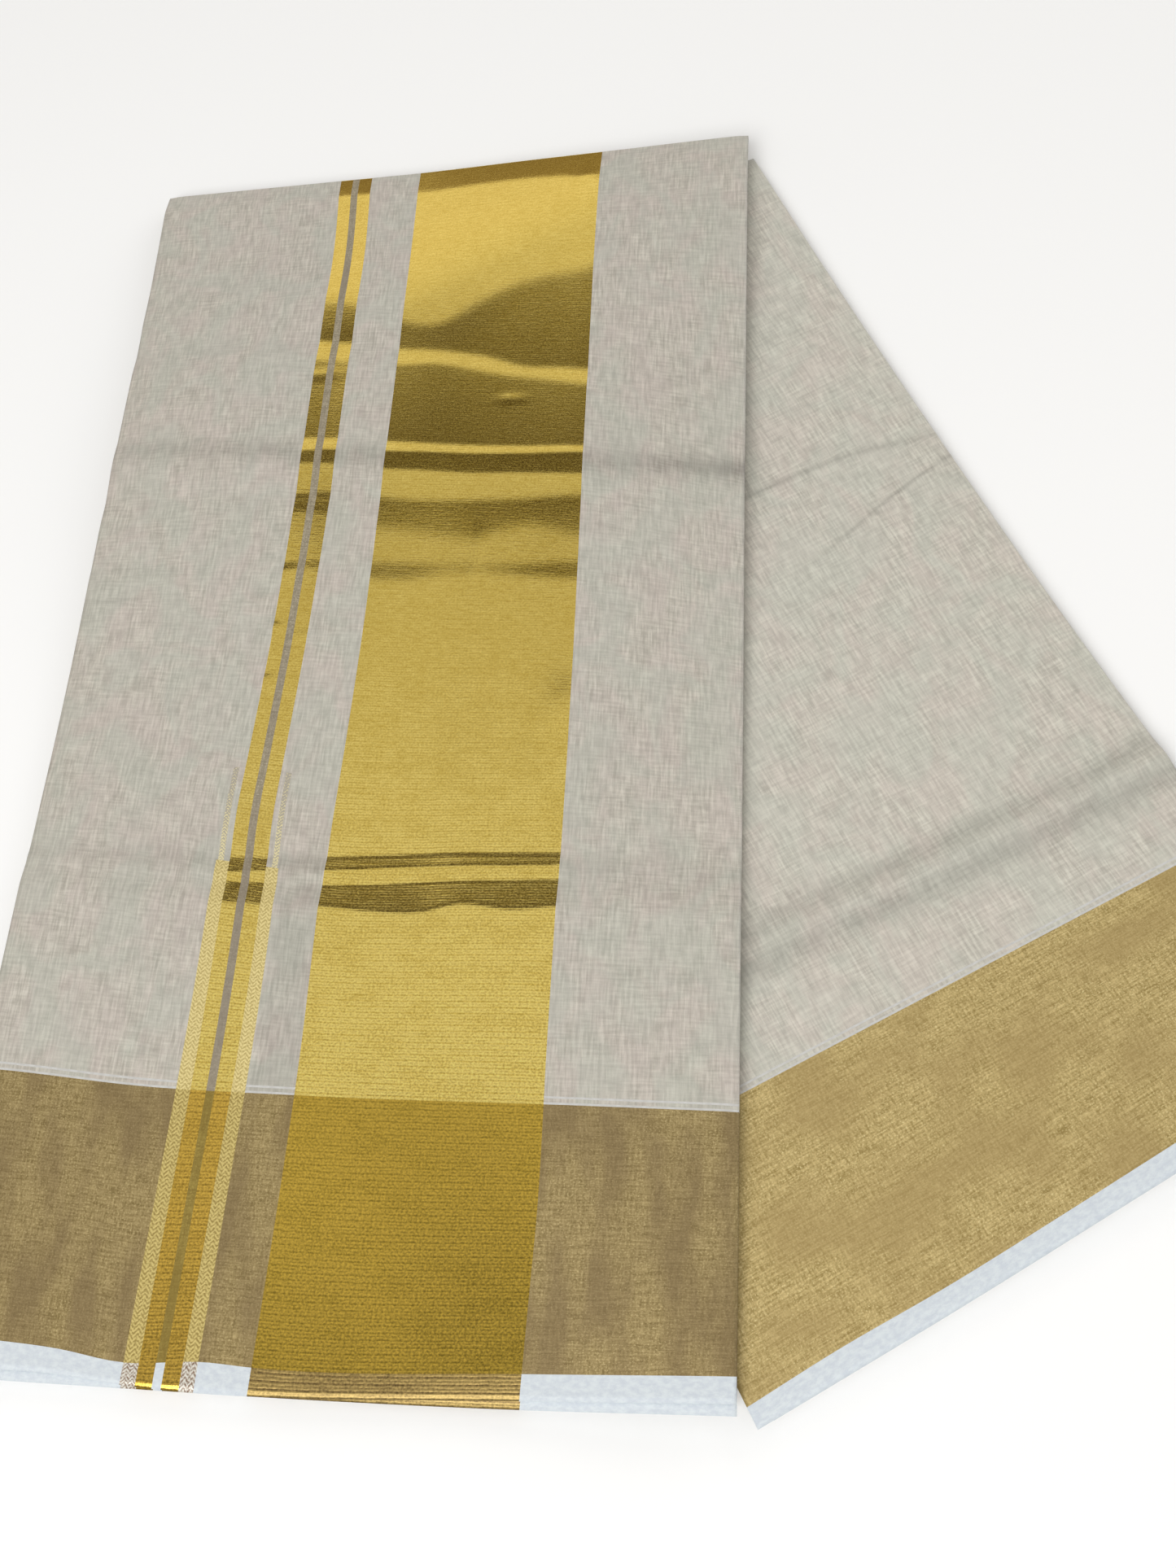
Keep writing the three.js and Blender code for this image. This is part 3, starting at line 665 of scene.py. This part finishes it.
# The pallu, the saree's end panel, on top. A wide gold stripe and a pair of narrow ones run
# through its body and border: gilt thread floats over the cotton in fine ribs across them. It is
# folded at its top, and the back half's selvedge shows along the bottom.
HALF_WIDTH = 575.0
SELVEDGE = 8.0
BORDER = 100.0
STRIPE = (-166.4, -71.2)
TWIN_STRIPES = ((-208.6, -202.2), (-198.7, -192.1))
TWIN_FLANKS = ((-214.5, -208.6), (-192.1, -186.5))
TIP_COLUMNS = ((-213.8, -211.3), (-189.6, -187.2))
FLANK_TIPS = (190.0, 232.0)
RIB = 2.3
RIBS_FADE = (60.0, 300.0)
WAVES_PER_UNIT = 0.3142

pallu_tissue = cotton_tissue("cotton_tissue_pallu", "#C5BFB3", "#ADA79B", "#C0B4AC", "#B4B7AA")
pallu_border_tissue = border_tissue("gilt_border_tissue_pallu", "#816E41", "#B5A06F", "#D0BC88", "#7E6A48")


# Zari: cotton thread wrapped in gilt metal, floated close together in ribs 2.3 mm apart, with finer
# ones between. It mirrors the light above it, so it turns from pale gold to dark with each lean of
# the cloth. Its ribs show most towards the bottom, where the weave is more open.
def zari(name, gold, deep, roughness, rib_height):
    material, tree, shader = new_material(name, Metallic=1.0, Roughness=roughness, Coat_Weight=0.12,
                                          Coat_Roughness=0.2)
    places = thread_places(tree)
    ribs, half_ribs = [
        node(tree, "ShaderNodeTexWave",
             {"Vector": places, "Scale": WAVES_PER_UNIT / pitch, "Distortion": 0.9, "Detail": 2.0,
              "Detail Scale": 0.6}, wave_type="BANDS", bands_direction="Y").outputs["Fac"]
        for pitch in (RIB, RIB / 2)]
    threads = noise(tree, 4.5, 1.3, detail=3.0, roughness=0.6)
    grain = noise(tree, 0.9, 0.8, detail=2.0, roughness=0.6)
    up_cloth = node(tree, "ShaderNodeSeparateXYZ", {0: places}).outputs[1]
    open_weave = sharpened(tree, up_cloth, RIBS_FADE[1], RIBS_FADE[0], 0.2, 1.0)
    uneven = sharpened(tree, noise(tree, 16.0, 9.0, detail=2.0), 0.35, 0.65, 0.6, 1.3)
    both_ribs = summed(tree, summed(tree, ribs, 0.45, "MULTIPLY"), half_ribs)
    ribbed = summed(tree, both_ribs, uneven, "MULTIPLY")
    open_ribs = summed(tree, ribbed, open_weave, "MULTIPLY")
    loose = summed(tree, summed(tree, threads, 2.0, "MULTIPLY"), grain)
    height = summed(tree, open_ribs, loose)
    # The tone paints the crests of the ribs pale and the grooves between them dark, a painted highlight and
    # shade, mixed with random thread and grain tone.
    tone = sharpened(tree, summed(tree, open_ribs, summed(tree, grain, threads)), 0.65, 1.8)
    grain_light = sharpened(tree, grain, 0.3, 0.7, -0.26, 0.26)
    glint = summed(tree, summed(tree, grain_light, open_weave, "MULTIPLY"), 1.0)
    toned = node(tree, "ShaderNodeVectorMath",
                 {0: mixed(tree, tone, linear(deep), linear(gold)), "Scale": glint}, operation="SCALE")
    tree.links.new(toned.outputs[0], shader.inputs["Base Color"])
    tree.links.new(sharpened(tree, grain, 0.3, 0.7, roughness - 0.02, roughness + 0.03),
                   shader.inputs["Roughness"])
    woven_bump(tree, shader, height, rib_height)
    return material


body_zari = zari("zari_in_body", "#F6DD7C", "#D1B34D", 0.16, 0.011)
border_zari = zari("zari_in_border", "#CFAE47", "#A68B30", 0.22, 0.008)
selvedge_zari = zari("zari_in_selvedge", "#AC945C", "#6A5636", 0.5, 0.04)
twin_zari = zari("zari_in_narrow_stripes", "#F6DD7C", "#CDAE48", 0.16, 0.018)
twin_border_zari = zari("zari_in_narrow_stripes_border", "#DCB650", "#A88833", 0.22, 0.018)


# Flanks of the narrow stripes: single gilt threads zigzag through the tissue beside each stripe,
# paler and more open than it. Above the low crease they narrow and end in scattered floats.
def zigzag_flank(name, ground, thread, spacing, open_from=None, open_to=None):
    material, tree, shader = new_material(name, Metallic=0.3, Roughness=0.45)
    places = thread_places(tree)
    parts = node(tree, "ShaderNodeSeparateXYZ", {0: places})
    fold = node(tree, "ShaderNodeMath", {0: parts.outputs[0], 1: spacing}, operation="PINGPONG").outputs[0]
    climb = summed(tree, parts.outputs[1], fold)
    turn_part = summed(tree, climb, spacing, "DIVIDE")
    wave = node(tree, "ShaderNodeMath", {0: summed(tree, turn_part, 2 * np.pi, "MULTIPLY")},
                operation="SINE").outputs[0]
    fleck = noise(tree, 1.0, 0.8, detail=2.0, roughness=0.7)
    broken = summed(tree, summed(tree, wave, 0.35, "MULTIPLY"), summed(tree, fleck, 2.4, "MULTIPLY"))
    if open_from:
        thinning = sharpened(tree, parts.outputs[1], open_from, open_to, -0.15, 0.55)
        broken = summed(tree, broken, thinning, "SUBTRACT")
    thread_here = sharpened(tree, broken, 0.75, 1.55)
    tree.links.new(mixed(tree, thread_here, linear(ground), linear(thread)), shader.inputs["Base Color"])
    woven_bump(tree, shader, thread_here, 0.05)
    return material


flank = zigzag_flank("zigzag_zari_on_tissue", "#C0AC6C", "#ECDA98", 1.6)
flank_tip = zigzag_flank("zigzag_zari_ending", "#B3AC9F", "#EADFAE", 1.4, *FLANK_TIPS)
border_flank = zigzag_flank("zigzag_zari_on_border", "#A08A4A", "#D6C27A", 1.6)
selvedge_flank = zigzag_flank("zigzag_zari_on_selvedge", "#8C7460", "#E2DED2", 1.4)
gap_tissue = border_tissue("tissue_between_narrow_stripes", "#8B816D", "#B6AB93", "#CFC9B4", "#94897A")
gap_border = border_tissue("tissue_between_narrow_stripes_border", "#846F31", "#A9944B", "#C4AE62", "#86702F")

PALLU_MATERIALS = [
    pallu_tissue, pallu_border_tissue, selvedge_cotton, ivory_cotton,
    body_zari, border_zari, selvedge_zari,
    twin_zari, twin_border_zari,
    flank, border_flank, selvedge_flank,
    gap_tissue, gap_border,
    flank_tip,
]
BODY, BORDER_BAND, SELVEDGE_BAND, IVORY = 0, 1, 2, 3
WIDE = {"body": 4, "border": 5, "selvedge": 6}
NARROW = {"body": 7, "border": 8, "selvedge": 8}
FLANK = {"body": 9, "border": 10, "selvedge": 11}
GAP = {"body": 12, "border": 13, "selvedge": 2}
TIP = 14

column_stops = [-302, -296, TWIN_FLANKS[0][0], *TIP_COLUMNS[0], *TWIN_STRIPES[0], *TWIN_STRIPES[1],
                *TIP_COLUMNS[1], TWIN_FLANKS[1][1], STRIPE[0], -160, -122, -108, -77, STRIPE[1], -6, 0]
column_steps = [1.5, 5.5, 0.7, 2.5, 3.3, 3.2, 1.8, 3.3, 3.0, 2.4, 0.7, 4.0, 3.2, 4.2, 1.4, 4.0, 3.0, 5.0, 1.5]
pallu_columns = spread(column_stops, column_steps)
pallu_rows = spread(
    [0, SELVEDGE, *[BORDER + row for row in ivory_rows], 165, FLANK_TIPS[0], 216, FLANK_TIPS[1], 270,
     314, 350, 372, 412, 436, 470, 555, HALF_WIDTH - FOLD_RADIUS],
    [2.0, 5.0, 0.8, 1.4, 0.8, 3.5, 0.9, 0.9, 4.0, 4.0, 1.5, 1.4, 1.6, 0.9, 2.0, 1.3, 3.5, 1.6])
stripe_left = line_through((0, -170.4), (60, -168.6), (120, -167.5), (160, -167.4), (200, -167.0),
                           (250, -164.7), (300, -162.8), (350, -162.0), (420, -161.9), (500, -163.2),
                           (575, -167.0))
stripe_right = line_through((0, -73.4), (30, -72.2), (60, -70.9), (120, -70.7), (350, -70.7), (420, -71.3),
                            (500, -71.9), (575, -72.5))
twin_drift = ((0, -3.8), (60, -2.2), (120, -0.6), (170, -0.3), (215, -1.1), (240, 0.4), (300, 4.3),
              (360, 6.6), (430, 6.1), (510, 5.0), (550, 1.7), (575, -0.6))
twin_edges = (TWIN_FLANKS[0][0], TWIN_FLANKS[1][1])
twin_left, twin_right = [line_through(*[(y, edge + drift) for y, drift in twin_drift]) for edge in twin_edges]
pallu_flat_x = [-302, *twin_edges, *STRIPE, 0]
pallu_lines_x = [pallu_left, twin_left, twin_right, stripe_left, stripe_right, pallu_right]
selvedge_line = line_through((-303, 12.4), (-267, 11.2), (-245, 9.5), (-219, 5.8), (-188, 7.0), (-170, 5.9),
                             (-73, 7.6), (0, 9.5))
border_line = line_through((-303, 111.6), (-291, 110.8), (-228, 104.8), (-166, 102.1), (-71, 98.7), (0, 96.8))
pallu_flat_y = [0, SELVEDGE, BORDER, 188, 394, HALF_WIDTH]
pallu_lines_y = [pallu_bottom, selvedge_line, border_line, pallu_low_crease, pallu_high_crease, pallu_top]


def pallu_zone(u, v):
    """Which material a face has, from its flat place."""
    band = "selvedge" if v < SELVEDGE else "border" if v < BORDER else "body"
    if STRIPE[0] < u < STRIPE[1]:
        return WIDE[band]
    if any(low < u < high for low, high in TWIN_STRIPES):
        return NARROW[band]
    if TWIN_STRIPES[0][1] < u < TWIN_STRIPES[1][0]:
        return GAP[band]
    if any(low < u < high for low, high in TWIN_FLANKS) and v < FLANK_TIPS[0]:
        return FLANK[band]
    if any(low < u < high for low, high in TIP_COLUMNS) and v < FLANK_TIPS[1]:
        return TIP
    if any(low < v - BORDER < high for low, high in IVORY_LINES):
        return IVORY
    return {"body": BODY, "border": BORDER_BAND, "selvedge": SELVEDGE_BAND}[band]


def pallu_surface(lines_y, rows):
    """The points of the pallu's top whose rows follow these lines, in millimetres."""
    x, y = grid_places(pallu_flat_x, pallu_lines_x, pallu_flat_y, lines_y, pallu_columns, rows)
    return np.stack([x, y, STACK + drape(x, y) + pallu_form(x, y)], axis=-1)


front = pallu_surface(pallu_lines_y, pallu_rows)
fold_rim = front[-1:, :, :]
fold_step = np.stack([0 * FOLD_ANGLES, FOLD_RADIUS * np.cos(FOLD_ANGLES),
                      FOLD_RADIUS * (np.sin(FOLD_ANGLES) - 1)], axis=-1)
fold = fold_rim + fold_step[:, None, :]
back_rows = spread([0, SELVEDGE, BORDER, HALF_WIDTH - FOLD_RADIUS], [4.0, 15.0, 12.0])
back_lines_y = [pallu_back_bottom, lambda x: pallu_back_bottom(x) + SELVEDGE, *pallu_lines_y[2:]]
back = pallu_surface(back_lines_y, back_rows) - [0, 0, 2 * FOLD_RADIUS]
sheet_points = np.concatenate([front, fold, back[::-1]], axis=0)
fold_rows = np.linspace(HALF_WIDTH, HALF_WIDTH + 2, len(FOLD_ANGLES))
sheet_v = np.concatenate([pallu_rows, fold_rows, back_rows[::-1]])
sheet_flat = np.stack(np.meshgrid(pallu_columns, sheet_v), axis=-1)
sheet_zones = np.array([[pallu_zone(u, v) for u in middles(pallu_columns)] for v in middles(sheet_v)])
pallu_sheet = cloth_piece("pallu_sheet", sheet_points, sheet_flat, sheet_zones, PALLU_MATERIALS,
                          pallu_painted_crease_shade(sheet_points[..., 0], sheet_points[..., 1]))
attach(pallu_sheet, "root")
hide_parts("pallu_stretch")


# The floor is a plain, pale, matt surface that the saree lies on. It is no part of the saree.
FLOOR_SIZE = 6.0
floor_mesh = bpy.data.meshes.new("floor")
half_floor = FLOOR_SIZE / 2
floor_mesh.from_pydata([(-half_floor, -half_floor, 0), (half_floor, -half_floor, 0),
                        (half_floor, half_floor, 0), (-half_floor, half_floor, 0)], [], [(0, 1, 2, 3)])
floor = finished_mesh("floor", floor_mesh)
floor_paint, floor_tree, floor_shader = new_material("pale_matt_floor", Roughness=0.9)
mottle = node(floor_tree, "ShaderNodeTexNoise", {"Scale": 3.0})
floor_tree.links.new(mixed(floor_tree, mottle.outputs["Fac"], linear("#FBFBFA"), linear("#FDFDFC")),
                     floor_shader.inputs["Base Color"])
floor_shader.inputs["Specular IOR Level"].default_value = 0.1
floor.data.materials.append(floor_paint)


# The light. A long window beyond the top edge, a wall and a strip of ceiling stand where the gold
# mirrors them. A low window at the right grazes the creases, and a soft light behind the viewer
# fills the cotton.
STRIPE_MIDDLE = placed((-118.0, 300.0, 12.0))


def soft_light(name, azimuth, elevation, distance, size, radiance, aside=0.0):
    """An area light seen from the gold stripe at this azimuth, west of north, and elevation.

    It stands `aside` metres off to the east.
    """
    turn_west, rise = np.radians(azimuth), np.radians(elevation)
    toward = np.array([-np.sin(turn_west) * np.cos(rise), np.cos(turn_west) * np.cos(rise), np.sin(rise)])
    data = bpy.data.lights.new(name, "AREA")
    data.shape = "RECTANGLE"
    data.size, data.size_y = size
    data.energy = radiance * np.pi * size[0] * size[1]
    light = bpy.data.objects.new(name, data)
    place = STRIPE_MIDDLE + toward * distance + [aside, 0, 0]
    away = Vector(toward)
    side = Vector((0, 0, 1)).cross(away).normalized()
    frame_axes = Matrix((side, away.cross(side), away)).transposed()
    light.matrix_world = Matrix.Translation(place) @ frame_axes.to_4x4()
    bpy.context.scene.collection.objects.link(light)


for name, elevation, height, radiance in (
        ("window", 34.9, 3.09, 0.75), ("wall", 48.3, 0.79, 0.135), ("ceiling", 73.6, 4.42, 0.67)):
    soft_light(name, azimuth=0, elevation=elevation, distance=8.0, size=(8.0, height), radiance=radiance,
               aside=-2.5)
soft_light("low_window", azimuth=-42, elevation=16, distance=4.0, size=(4.6, 1.6), radiance=1.85)
soft_light("fill", azimuth=168, elevation=45, distance=3.0, size=(2.0, 2.0), radiance=5.2)

# The room is pale, but for its dim far corner beyond the top edge.
world = bpy.data.worlds.new("room")
world.use_nodes = True
sky = world.node_tree
toward = node(sky, "ShaderNodeSeparateXYZ", {0: node(sky, "ShaderNodeTexCoord").outputs["Generated"]}).outputs
dim = summed(sky, sharpened(sky, toward["Y"], -0.1, 0.1), sharpened(sky, toward["X"], 0.25, 0.0), "MULTIPLY")
corner = mixed(sky, sharpened(sky, toward["Z"], 0.45, 0.70), linear("#A08F70"), linear("#43320F"))
room = mixed(sky, dim, linear("#C8C8C8"), corner)
seen = node(sky, "ShaderNodeLightPath").outputs["Is Camera Ray"]
sky.links.new(mixed(sky, seen, room, linear("#E4E4E2")), sky.nodes["Background"].inputs["Color"])
sky.nodes["Background"].inputs["Strength"].default_value = 0.8
bpy.context.scene.world = world
bpy.context.scene.view_settings.view_transform = "Standard"
